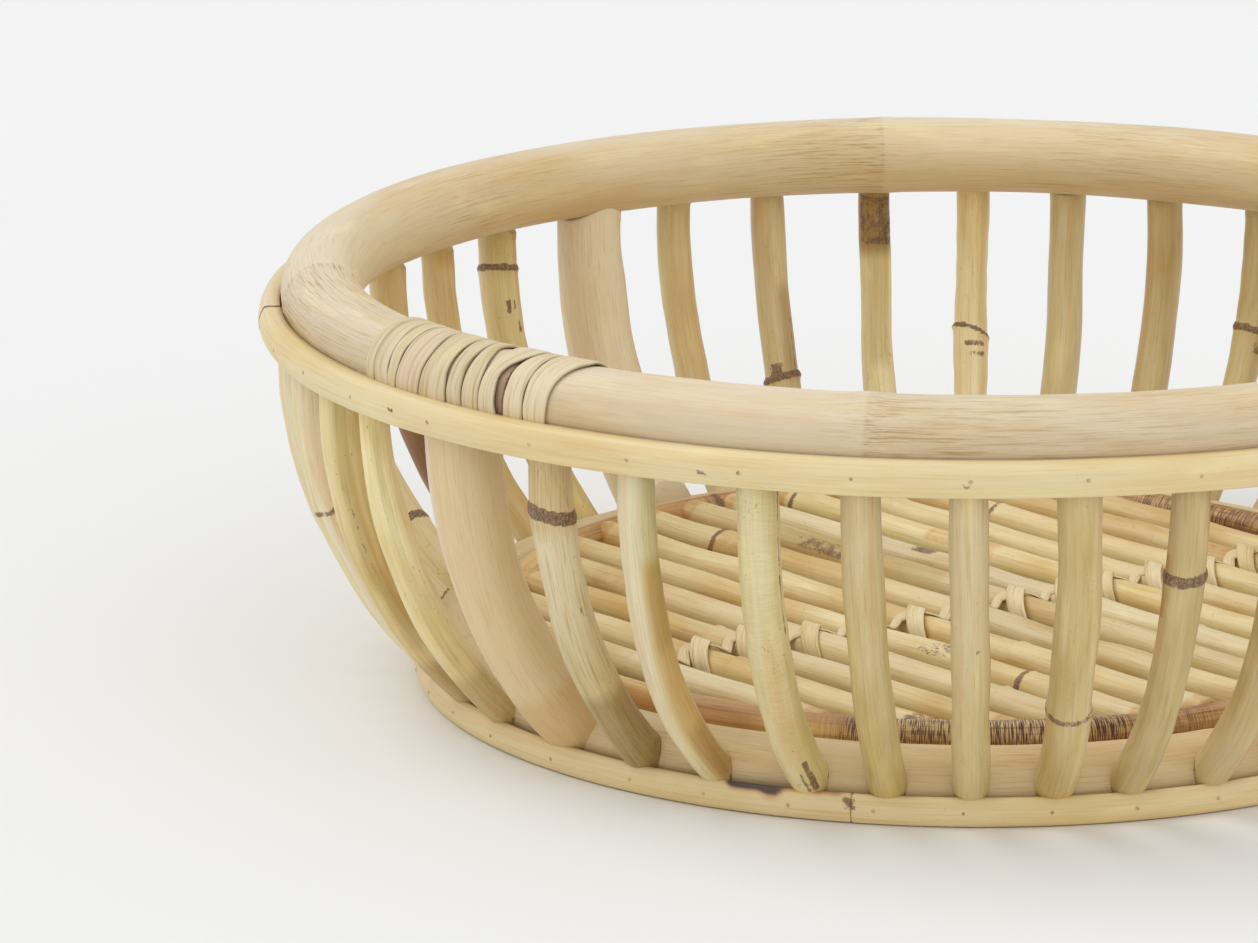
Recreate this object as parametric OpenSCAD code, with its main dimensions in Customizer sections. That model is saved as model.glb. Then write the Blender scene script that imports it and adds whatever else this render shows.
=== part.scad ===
// Round open-stave cane basket: two steam-bent poles joined by curved upright
// staves, a raised floor of loose rods on one crossbar, and split-cane bands.
// Millimetres, +Z up, origin on the ground at the centre of the base.

/* [Rim] */
// Diameter of the rim pole's centre line
rim_ring_d = 409; // [380:1:440]
// Thickness of the rim pole
rim_pole_d = 26.8; // [22:0.2:28]
// Height of the rim pole's centre above the ground
rim_z = 127.5; // [120:0.5:140]
// Height of the split-cane band round the rim
rim_band_h = 11.2; // [8:0.2:12]
// Thickness of the rim band at its crown
rim_band_t = 5.6; // [4:0.2:6]
// Height of the rim band's middle above the ground
rim_band_z = 119.7; // [115:0.1:121]

/* [Base] */
// Diameter of the base pole's centre line
base_ring_d = 320.4; // [316:0.2:324]
// Thickness of the base pole
base_pole_d = 21.2; // [19:0.2:22]
// Height of the base band
base_band_h = 9.4; // [8:0.2:10]
// Thickness of the base band at its crown
base_band_t = 4; // [3:0.2:4.6]
// Inner diameter of the base band
base_band_inner_d = 344.6; // [344:0.2:346]

/* [Staves] */
// Diameter across the outsides of the staves, just under the rim
stave_span = 438.4; // [438:0.2:439]
// Radius of the curve on the outside of a stave
stave_curve_r = 138; // [136:1:140]
// Height at which a stave starts to curve inwards
stave_curve_z = 110; // [108:0.5:112]
// Mean thickness of the thin staves
stave_d = 12.4; // [11:0.1:13]
// How far a thin stave may be thicker or thinner than the mean
stave_d_spread = 0.9; // [0:0.1:1.2]
// Thickness of the four stout posts
post_d = 25; // [22:0.5:27]
// Angle between a post and the thin stave beside it
post_gap_deg = 10.6; // [9:0.1:12]

/* [Floor] */
// Diameter of the floor ring's centre line
floor_ring_d = 292; // [288:0.5:294]
// Thickness of the floor ring's cane
floor_cane_d = 11.6; // [9:0.2:12]
// Height of the floor ring's centre above the ground
floor_z = 19.5; // [19.2:0.1:21]
// Thickness of the floor rods
rod_d = 12; // [9:0.2:12.4]
// Spacing of the floor rods
rod_pitch = 19.15; // [18:0.05:20]
// Sideways shift of the two middle rods
middle_shift = 2.5; // [0:0.1:3]
// Thickness of the crossbar under the rods
bar_d = 11; // [9:0.2:11.2]
// Distance of the crossbar from the middle of the floor
bar_offset = 13; // [0:1:20]
// Angle by which the crossbar is out of square with the rods
bar_skew = 7.5; // [0:0.5:10]

/* [Lashings] */
// Width of the peeled-cane strip round the crossbar
lash_w = 5; // [3:0.2:5.4]
// Width of the peeled-cane strip round the rim joint
binding_w = 6.6; // [5:0.2:7]
// Thickness of both strips
strip_t = 0.9; // [0.6:0.1:1]
// Number of turns round the rim joint
binding_turns = 10; // [5:1:10]

/* [Nails] */
// Diameter of a brad's shank
nail_d = 1.2; // [1:0.1:1.6]
// Diameter of a brad's head
nail_head_d = 2; // [1.8:0.1:2.4]

/* [Hidden] */
$fn = 96;

// Running clearance between two canes that bear on each other
fit = 0.1;

rim_r = rim_ring_d / 2;
rim_pole_r = rim_pole_d / 2;
rim_band_inner_r = stave_span / 2 + 2 * fit;
rim_band_r = rim_band_inner_r + rim_band_t;
// Radius of the curved face of a split-cane band
rim_band_crown_r = 8;

base_r = base_ring_d / 2;
base_pole_r = base_pole_d / 2;
// The base pole hangs just clear of the ground, so that the band alone rests on it
base_lift = 0.3;
base_z = base_pole_r + base_lift;
base_band_inner_r = base_band_inner_d / 2;
base_band_crown_r = 7;

// Angles of the butt joints in the five bent rings
rim_joint_at = -82;
rim_band_joint_at = -125;
base_joint_at = 150;
base_band_joint_at = -54;
floor_joint_at = 60;
// Width of a butt joint's gap, in degrees
joint_gap_deg = 0.12;

// Angles of the four posts, and the thin staves between each and the next
post_at = [-88.5, 2.5, 86.6, 174.6];
staves_after = [9, 9, 8, 10];
n_posts = len(post_at);
n_staves = 36;

// Centre of the arc that every stave follows, on the stave's own plane
stave_centre_r = stave_span / 2 - stave_curve_r;
// Angle of the stave's foot, where it ends behind the base band
stave_foot_deg = 50.8;
stave_top_z = rim_band_z + rim_band_h / 2 - 0.5;
// Golden angle: it spreads the thicknesses evenly, with no visible order
golden_deg = 137.5;

n_rod_pairs = 7;
rod_r = rod_d / 2;
// The rods' ends follow this circle before they are coped to the floor ring
rod_end_r = floor_ring_d / 2 - 3;
bar_z = floor_z - rod_r - bar_d / 2 - fit;
bar_end_r = base_r - base_pole_r - 1.2;

// The strip round the crossbar keeps this far from the rods and from the bar
lash_rod_r = rod_r + strip_t / 2 + 0.2;
lash_bar_r = bar_d / 2 + strip_t / 2 + 1;
// Half the distance that the strip moves along a rod while it crosses it
lash_lean = 7;
lash_twist_steps = 3;

binding_at = -88.4;
binding_pitch_deg = 2.1;
binding_deg = binding_w / rim_r * 180 / PI;
// The strip leaves the rim pole bare from under it to behind the band's edge
binding_from = -100;
binding_to = -8;

nail_len = 15;
nail_head_t = 0.5;
nail_proud = 0.15;

peeled = [0.86, 0.76, 0.62];
split = [0.88, 0.80, 0.60];
skin = [0.82, 0.74, 0.52];
brown = [0.66, 0.48, 0.28];
steel = [0.45, 0.44, 0.42];

function two_digits(i) = i < 10 ? str("0", i) : str(i);

// ---- Positions ----

function wrap_deg(a) = a < 0 ? a + 360 : a;

// Angles of the thin staves between post q and the next one
function staves_between(q) =
    let (
        start = post_at[q],
        sweep = wrap_deg(post_at[(q + 1) % n_posts] - start),
        count = staves_after[q],
        step = (sweep - 2 * post_gap_deg) / (count - 1)
    )
    [for (i = [0:count - 1]) start + post_gap_deg + i * step];

stave_at = [for (q = [0:n_posts - 1]) each staves_between(q)];

function thin_stave_d(i) = stave_d + stave_d_spread * sin(golden_deg * i);

// Distance of a rod of pair k from the middle, on its side (1 or -1)
function rod_y(k, side) =
    side * (k - 0.5) * rod_pitch + (k == 1 ? middle_shift : 0);

function bar_x(y) = bar_offset + y * tan(bar_skew);

// ---- Shapes ----

// A ring of one cane, bent round until its two ends meet at a butt joint
module bent_ring(centre_r, z, joint_at) {
    rotate([0, 0, joint_at + joint_gap_deg / 2])
        rotate_extrude(angle = 360 - joint_gap_deg)
            translate([centre_r, z])
                children();
}

// Section of a split cane: flat inside, crowned outside
module split_section(t, h, crown_r) {
    intersection() {
        translate([0, -h / 2])
            square([t, h]);
        translate([t - crown_r, 0])
            circle(r = crown_r);
    }
}

// A full ring of round section, for coping the canes that meet it
module cope_ring(centre_r, z, r) {
    rotate_extrude()
        translate([centre_r, z])
            circle(r = r);
}

// A cane of thickness d: upright under the rim, then curved in to its foot
module bent_cane(d) {
    axis_r = stave_curve_r - d / 2;
    translate([stave_centre_r, 0, stave_curve_z]) {
        translate([axis_r, 0, 0])
            cylinder(d = d, h = stave_top_z - stave_curve_z);
        rotate([-90, 0, 0])
            rotate_extrude(angle = stave_foot_deg)
                translate([axis_r, 0])
                    circle(d = d);
    }
}

// The space that the base band takes, which a stave's foot is shaved to clear
module base_band_space() {
    rotate_extrude()
        translate([base_band_inner_r - fit, -base_pole_d])
            square([base_pole_d, base_band_h + base_pole_d + fit]);
}

// The space inside the base pole's centre line, which a post's foot stays out of
module inside_base() {
    cylinder(r = base_r, h = 2 * base_pole_d);
}

// A stave or post: shaved behind the base band and coped to both poles
module coped_cane(d, at) {
    difference() {
        rotate([0, 0, at])
            bent_cane(d);
        cope_ring(rim_r, rim_z, rim_pole_r + fit);
        cope_ring(base_r, base_z, base_pole_r + fit);
        base_band_space();
        inside_base();
    }
}

module brads(z, outer_r) {
    for (at = concat(post_at, stave_at))
        rotate([0, 0, at])
            translate([outer_r + nail_proud, 0, z])
                rotate([0, -90, 0]) {
                    cylinder(d = nail_head_d, h = nail_head_t);
                    cylinder(d = nail_d, h = nail_len);
                }
}

// ---- Flat strip swept along points, each with the direction that it faces ----

function unit(v) = v / norm(v);

function mix(a, b, t) = a * (1 - t) + b * t;

// The four corners of the strip's section at station i of the path
function strip_corners(path, i, w, t) =
    let (
        last = len(path) - 1,
        along = unit(path[min(i + 1, last)][0] - path[max(i - 1, 0)][0]),
        across = unit(cross(along, path[i][1])),
        out = cross(across, along)
    )
    [for (c = [[-1, -1], [1, -1], [1, 1], [-1, 1]])
        path[i][0] + c[0] * across * w / 2 + c[1] * out * t / 2];

module strip(path, w, t) {
    last = len(path) - 1;
    corners = [for (i = [0:last]) each strip_corners(path, i, w, t)];
    sides = [for (i = [0:last - 1]) each
        [for (c = [0:3])
            [4 * i + c, 4 * i + (c + 1) % 4, 4 * i + 4 + (c + 1) % 4, 4 * i + 4 + c]]];
    ends = [[3, 2, 1, 0], [for (c = [0:3]) 4 * last + c]];
    polyhedron(points = corners, faces = concat(sides, ends), convexity = 10);
}

// ---- Route of the strip that lashes the rods to the crossbar ----

rods_in_order = concat(
    [for (k = [n_rod_pairs:-1:1]) rod_y(k, -1)],
    [for (k = [1:n_rod_pairs]) rod_y(k, 1)]
);

// Beside the bar, level with its middle, where the strip leaves side -1 of a rod or side 1
function lash_low(y, side) =
    [[bar_x(y) - side * lash_bar_r, y, bar_z], [-side, 0, 0]];

// Side 1 or -1 of a rod, level with its middle
function lash_high(y, side) =
    [[bar_x(y) - side * lash_lean, y + side * lash_rod_r, floor_z], [0, side, 0]];

// From one station to another, turning the strip on the way
function lash_twist(from, to) =
    [for (i = [1:lash_twist_steps])
        let (t = i / (lash_twist_steps + 1))
        [mix(from[0], to[0], t), unit(mix(from[1], to[1], t))]];

// Over a rod, from its low side to its high side
function lash_over(y) =
    [for (a = [180:-22.5:0])
        [[bar_x(y) - lash_lean * (1 - a / 90), y + lash_rod_r * cos(a),
          floor_z + lash_rod_r * sin(a)], [0, cos(a), sin(a)]]];

// Under the bar at y, from its far side back to its near side
function lash_under(y) =
    [for (a = [0:-30:-180])
        [[bar_x(y) - lash_bar_r * cos(a), y, bar_z + lash_bar_r * sin(a)],
         [-cos(a), 0, sin(a)]]];

function between_rods(k) =
    k < 0 ? rods_in_order[0] - rod_pitch / 2
    : k >= len(rods_in_order) - 1 ? rods_in_order[k] + rod_pitch / 2
    : (rods_in_order[k] + rods_in_order[k + 1]) / 2;

lash_route = [for (k = [0:len(rods_in_order) - 1]) each
    let (
        y = rods_in_order[k],
        before = between_rods(k - 1),
        after = between_rods(k)
    )
    concat(
        lash_twist(lash_low(before, -1), lash_high(y, -1)),
        lash_over(y),
        lash_twist(lash_high(y, 1), lash_low(after, 1)),
        lash_under(after)
    )];

// ---- Sub-parts ----

module rim_pole() {
    color(peeled)
        bent_ring(rim_r, rim_z, rim_joint_at)
            circle(r = rim_pole_r);
}

module rim_band() {
    color(split)
        bent_ring(rim_band_inner_r, rim_band_z, rim_band_joint_at)
            split_section(rim_band_t, rim_band_h, rim_band_crown_r);
}

module base_pole() {
    color(peeled)
        bent_ring(base_r, base_z, base_joint_at)
            circle(r = base_pole_r);
}

module base_band() {
    color(split)
        bent_ring(base_band_inner_r, base_band_h / 2, base_band_joint_at)
            split_section(base_band_t, base_band_h, base_band_crown_r);
}

module floor_ring() {
    color(brown)
        bent_ring(floor_ring_d / 2, floor_z, floor_joint_at)
            circle(d = floor_cane_d);
}

// Section of one turn of the rim binding: most of a ring round the pole
module binding_section() {
    inner_r = rim_pole_r + fit;
    reach = 2 * rim_pole_d;
    middle = (binding_from + binding_to) / 2;
    difference() {
        circle(r = inner_r + strip_t);
        circle(r = inner_r);
        polygon([[0, 0], for (a = [binding_from, middle, binding_to]) reach * [cos(a), sin(a)]]);
    }
}

module rim_binding() {
    color(split)
        difference() {
            for (i = [0:binding_turns - 1])
                rotate([0, 0, binding_at + (i - binding_turns / 2) * binding_pitch_deg])
                    rotate_extrude(angle = binding_deg)
                        translate([rim_r, rim_z])
                            binding_section();
            rotate([0, 0, post_at[0]])
                bent_cane(post_d + 4 * fit);
        }
}

module post(i) {
    color(peeled)
        coped_cane(post_d, post_at[i - 1]);
}

module stave(i) {
    color(skin)
        coped_cane(thin_stave_d(i), stave_at[i - 1]);
}

module floor_rod_pair(k) {
    color(skin)
        difference() {
            intersection() {
                for (side = [-1, 1])
                    translate([-rod_end_r, rod_y(k, side), floor_z])
                        rotate([0, 90, 0])
                            cylinder(r = rod_r, h = 2 * rod_end_r);
                cylinder(r = rod_end_r, h = 2 * floor_z);
            }
            cope_ring(floor_ring_d / 2, floor_z, floor_cane_d / 2 + fit);
        }
}

module cross_bar() {
    color(brown)
        intersection() {
            translate([bar_offset, 0, bar_z])
                rotate([0, 0, -bar_skew])
                    rotate([90, 0, 0])
                        cylinder(d = bar_d, h = 2 * base_r, center = true);
            cylinder(r = bar_end_r, h = floor_z);
        }
}

module bar_lashing() {
    color(split)
        strip(lash_route, lash_w, strip_t);
}

module rim_nails() {
    color(steel)
        brads(rim_band_z, rim_band_r);
}

module base_nails() {
    color(steel)
        brads(base_band_h / 2, base_band_inner_r + base_band_t);
}

rim_pole();
rim_band();
rim_binding();
base_pole();
base_band();
floor_ring();
cross_bar();
bar_lashing();
rim_nails();
base_nails();
for (i = [1:n_posts])
    post(i);
for (i = [1:n_staves])
    stave(i);
for (i = [1:n_rod_pairs])
    floor_rod_pair(i);
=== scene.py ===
import math
from collections import namedtuple

import bpy
import numpy as np
from mathutils import Euler, Matrix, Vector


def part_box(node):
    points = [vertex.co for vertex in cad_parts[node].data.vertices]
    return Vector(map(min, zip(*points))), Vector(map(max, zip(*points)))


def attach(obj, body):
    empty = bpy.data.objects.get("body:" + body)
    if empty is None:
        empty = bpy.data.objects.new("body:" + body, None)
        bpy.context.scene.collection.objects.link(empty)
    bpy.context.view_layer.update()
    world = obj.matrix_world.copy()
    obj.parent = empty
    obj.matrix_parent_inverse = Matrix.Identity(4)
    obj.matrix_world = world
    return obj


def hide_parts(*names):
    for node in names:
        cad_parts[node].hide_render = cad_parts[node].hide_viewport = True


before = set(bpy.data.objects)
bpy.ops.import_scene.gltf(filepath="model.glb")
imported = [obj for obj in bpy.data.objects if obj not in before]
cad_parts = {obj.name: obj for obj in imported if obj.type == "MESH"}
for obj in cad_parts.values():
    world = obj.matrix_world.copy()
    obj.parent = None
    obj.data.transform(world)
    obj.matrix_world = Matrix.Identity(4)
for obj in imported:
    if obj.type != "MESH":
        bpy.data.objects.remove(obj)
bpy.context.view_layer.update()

MM = 0.001
SEED = 20

# ---- Sizes that the CAD boxes don't give, in millimetres ----

BAND_CROWN = {"rim_band": 8.0, "base_band": 7.0}
BAND_THICK = {"rim_band": 5.6, "base_band": 4.0}
BAND_LIP = {"rim_band": 1.45, "base_band": 0.0}
BAND_CORNER = 0.9
# Outer profile of every upright: straight under the rim, then one arc to the foot
CURVE_R = 138.0
CURVE_Z = 110.0
FOOT_DEG = 50.8
TOP_Z = 124.8
STRAIGHT = TOP_Z - CURVE_Z
UPRIGHT_SPAN_R = 219.2
# An upright's foot is cut off in line with the base pole's centre
FOOT_CUT_R = 160.2
ROD_END_INSET = 3.0
STRIP_THICK = 0.9
UP = (0, 0, 1)
# How far apart the grain of two canes may start, so that no two look alike
GRAIN_SPAN = 900

# Azimuths of the butt joints and of the nodes along the bent canes, in degrees
RIM_JOINT = -82.0
RIM_NODES = (-51.1, 46.5, 144.1, 237.1)
RIM_BAND_JOINT = -125.5
BASE_JOINT = 150.0
BASE_NODES = (-15.0, 68.0, 243.0)
BASE_BAND_JOINT = -54.0
FLOOR_JOINT = 60.0
FLOOR_RING_NODES = (-47.0, 12.0, 103.0, 171.0, 232.0)

# What a painted mask stands for: its place in the "marks" attribute
DARK, GOLD, CROSS = 0, 1, 2
# A patch that spreads over more degrees than this is a ring round the cane
ALL_ROUND = 300


def linear(*rgb):
    """Display values from 0 to 255 as linear colour."""
    c = np.array(rgb, float) / 255
    return np.where(c <= 0.04045, c / 12.92, ((c + 0.055) / 1.055) ** 2.4)


# ---- Small maths ----


def smooth(x):
    x = np.clip(x, 0, 1)
    return x * x * (3 - 2 * x)


def window(x, low, high, soft):
    """1 between low and high, falling smoothly to 0 outside them over soft."""
    return smooth((x - low) / soft + 1) * smooth((high - x) / soft + 1)


def turn_between(a, b):
    """The angle from b to a, in degrees from -180 to 180."""
    return (a - b + 180) % 360 - 180


def arc(azimuth_deg, start, end, soft):
    """1 between two azimuths, in degrees, falling smoothly to 0 outside them."""
    half = (end - start) / 2
    return window(turn_between(azimuth_deg, start + half), -half, half, soft)


def angles(count):
    """Evenly spaced angles round a section."""
    return np.linspace(0, 2 * math.pi, count, endpoint=False)


def path_length(path):
    """The length along a path at each of its points."""
    return np.concatenate([[0], np.cumsum(np.linalg.norm(np.diff(path, axis=0), axis=1))])


def extent(node):
    """Centre and half size of a node's CAD box, in millimetres."""
    low, high = (np.array(corner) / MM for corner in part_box(node))
    return (low + high) / 2, (high - low) / 2


def waver(rng, amount, wavelength, terms=4):
    """A smooth random function of the length along a cane."""
    rate = 2 * math.pi / wavelength * (0.6 + 1.4 * rng.random(terms))
    phase = 2 * math.pi * rng.random(terms)
    return lambda along: amount / math.sqrt(terms) * np.sin(np.multiply.outer(along, rate) + phase).sum(-1)


# ---- Meshes ----


def place(name, data):
    """A new object in the scene."""
    item = bpy.data.objects.new(name, data)
    bpy.context.scene.collection.objects.link(item)
    return item


def skin(name, shells, looks, material, slot, *nodes):
    """A painted mesh of closed shells, each over rings of points in millimetres and capped at both ends."""
    points, faces, values, base = [], [], {}, 0
    for shell, paint in zip(shells, looks):
        count, around = shell.shape[:2]
        p = np.concatenate([shell.reshape(-1, 3), shell[[0, -1]].mean(1)])
        i = np.arange(count - 1)[:, None] * around
        j = np.arange(around)[None]
        k = (j + 1) % around
        quads = np.stack([i + j, i + k, i + k + around, i + j + around], -1).reshape(-1, 4)
        j, k = j[0], k[0]
        first, last = count * around, count * around + 1
        end = (count - 1) * around
        caps = np.concatenate([
            np.stack([k, j, np.full(around, first)], -1),
            np.stack([end + j, end + k, np.full(around, last)], -1)])
        corner = p[quads]
        volume = np.einsum("ij,ij->", np.cross(corner[:, 0], corner[:, 1]), corner[:, 2])
        volume += np.einsum("ij,ij->", np.cross(corner[:, 0], corner[:, 2]), corner[:, 3])
        if volume < 0:
            quads, caps = quads[:, ::-1], caps[:, ::-1]
        points.append(p)
        faces += (quads + base).tolist() + (caps + base).tolist()
        base += len(p)
        for label, array in paint.items():
            flat = np.broadcast_to(array, shell.shape)
            flat = np.concatenate([flat.reshape(-1, 3), flat[[0, -1]].mean(1)])
            values.setdefault(label, []).append(flat)
    mesh = bpy.data.meshes.new(name)
    mesh.from_pydata((np.concatenate(points) * MM).tolist(), [], faces)
    for label, arrays in values.items():
        attribute = mesh.attributes.new(label, "FLOAT_VECTOR", "POINT")
        attribute.data.foreach_set("vector", np.concatenate(arrays).astype(np.float32).ravel())
    mesh.shade_smooth()
    mesh.materials.append(material)
    piece = place(name, mesh)
    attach(piece, "root")
    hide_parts(*nodes)


def tube_rings(centre, out, side, radius, theta):
    """Rings of points round a centre line. radius has a row for each ring and a column for each angle."""
    out, side = (np.atleast_2d(way)[:, None] for way in (out, side))
    c, s = np.cos(theta), np.sin(theta)
    return centre[:, None] + (radius * c)[..., None] * out + (radius * s)[..., None] * side


def round_ends(radius, along, bevel):
    """The radius, drawn in to a small rounded edge at both ends."""
    near = np.minimum(along - along.min(), along.max() - along)
    edge = 1 - np.clip(near / bevel, 0, 1)
    return radius - (bevel * (1 - np.sqrt(1 - edge ** 2)))[:, None]


def with_end_rings(along, bevel, steps=5):
    """More stations inside the bevel at both ends."""
    extra = bevel * (np.arange(steps) / steps) ** 2
    return np.unique(np.concatenate([along, along.min() + extra, along.max() - extra]))


# ---- Paint ----


def paint(shape, tint, streak=1.0, speck=0.0, mottle=1.0):
    """Blank paint: tint, no marks, and how strongly streaks, specks and mottling show."""
    return {
        "tint": np.ones(shape + (1,)) * tint,
        "marks": np.zeros(shape + (3,)),
        "grain": np.ones(shape + (1,)) * np.array([streak, speck, mottle])}


def turn_from(theta, facing):
    """How far each angle round a cane is from a facing, in degrees."""
    return np.abs(turn_between(np.degrees(theta), facing))


def add_patch(look, along, theta, kind, start, end, facing=0.0, spread=360.0, strength=1.0,
              soft=2.0, turn_soft=25.0):
    """Raises one mask from start to end along the cane, and spread degrees wide round it."""
    mask = strength * window(along, start, end, soft)[:, None]
    mask = mask * smooth((spread / 2 - turn_from(theta, facing)) / turn_soft + 1)
    look["marks"][..., kind] = np.maximum(look["marks"][..., kind], mask)


def add_tone(look, along, theta, colour, start, end, facing, spread, strength, soft=8.0):
    """Multiplies the tint by a colour inside a soft patch."""
    share = strength * window(along, start, end, soft)[:, None]
    share = share * smooth((spread / 2 - turn_from(theta, facing)) / (spread * 0.6) + 1)
    look["tint"] *= 1 - share[..., None] * (1 - np.array(colour))


def add_marks(look, along, theta, marks, soft, ring_soft):
    """Patches of a mask or of a colour, each as (kind, start, end, facing, spread, strength)."""
    for kind, start, end, facing, spread, strength in marks:
        if isinstance(kind, tuple):
            add_tone(look, along, theta, kind, start, end, facing, spread, strength)
        else:
            edge = ring_soft if spread > ALL_ROUND else soft
            add_patch(look, along, theta, kind, start, end, facing, spread, strength, edge, min(25.0, spread))


def add_joint(look, along, theta, joint, before, after, **patch):
    """The dark line of a butt joint, at both ends of a ring."""
    for end in (joint, joint + 360):
        add_patch(look, along, theta, DARK, end - before, end + after, **patch)


def turn_tint(look, share, tint):
    """Turns the tint to another colour by a share for each point."""
    look["tint"] = look["tint"] * (1 - share) + np.array(tint) * share


def straight_coordinates(radius, theta, along, rng):
    """Where each point would be if the cane were straight. The materials' grain follows it."""
    across = np.broadcast_arrays(radius * np.cos(theta), radius * np.sin(theta), along[:, None])
    shift = rng.random() * GRAIN_SPAN
    return (np.stack(across, -1) + (shift, 0, 3 * shift)) * MM


def strip_coordinates(section, along):
    """The same for a swept section, given as outward and upward columns."""
    length = np.broadcast_to(along[:, None, None], section.shape[:2] + (1,))
    return np.concatenate([section, length], -1) * MM


# ---- Materials ----


def rgba(*rgb):
    return (*linear(*rgb), 1.0)


class Graph:
    """A material's node tree, with short calls to add and join nodes."""

    def __init__(self, name):
        self.material = bpy.data.materials.new(name)
        self.material.use_nodes = True
        self.tree = self.material.node_tree
        self.shader = self.tree.nodes["Principled BSDF"]

    def add(self, kind, inputs=(), **settings):
        node = self.tree.nodes.new(kind)
        for key, value in settings.items():
            setattr(node, key, value)
        for key, value in dict(inputs).items():
            self.set(node.inputs[key], value)
        return node

    def set(self, socket, value):
        if isinstance(value, bpy.types.NodeSocket):
            self.tree.links.new(value, socket)
        else:
            socket.default_value = value

    def attribute(self, name):
        return self.add("ShaderNodeAttribute", attribute_name=name).outputs["Vector"]

    def split(self, vector):
        return self.add("ShaderNodeSeparateXYZ", {0: vector}).outputs

    def math(self, operation, a, b=0.0, c=0.0, clamp=False):
        return self.add("ShaderNodeMath", {0: a, 1: b, 2: c}, operation=operation, use_clamp=clamp).outputs[0]

    def times(self, a, b):
        return self.math("MULTIPLY", a, b)

    def plus_times(self, a, b, c):
        """a times b, plus c."""
        return self.math("MULTIPLY_ADD", a, b, c)

    def noise(self, vector, scale, detail=3.0, roughness=0.55):
        vector = self.add("ShaderNodeVectorMath", {0: vector, 1: scale}, operation="MULTIPLY").outputs[0]
        return self.add("ShaderNodeTexNoise", {
            "Vector": vector, "Scale": 1.0, "Detail": detail, "Roughness": roughness}).outputs["Fac"]

    def ramp(self, value, low, high, to_low=0.0, to_high=1.0):
        return self.add("ShaderNodeMapRange", {
            "Value": value, "From Min": low, "From Max": high,
            "To Min": to_low, "To Max": to_high}, interpolation_type="SMOOTHSTEP").outputs[0]

    def mix(self, factor, a, b, blend="MIX"):
        node = self.add("ShaderNodeMix", data_type="RGBA", blend_type=blend, clamp_factor=True)
        self.set(node.inputs[0], factor)
        self.set(node.inputs[6], a)
        self.set(node.inputs[7], b)
        return node.outputs[2]

    def dye(self, colour, factor, tint):
        """The colour multiplied by a tint, given as display values."""
        return self.mix(factor, colour, rgba(*tint), "MULTIPLY")

    def finish(self, height, strength, distance, **inputs):
        """Sets the shader's inputs and its bump, and returns the material."""
        for key, value in inputs.items():
            self.set(self.shader.inputs[key.replace("_", " ")], value)
        relief = self.add("ShaderNodeBump", {"Height": height, "Strength": strength, "Distance": distance})
        self.set(self.shader.inputs["Normal"], relief.outputs[0])
        return self.material


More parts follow.
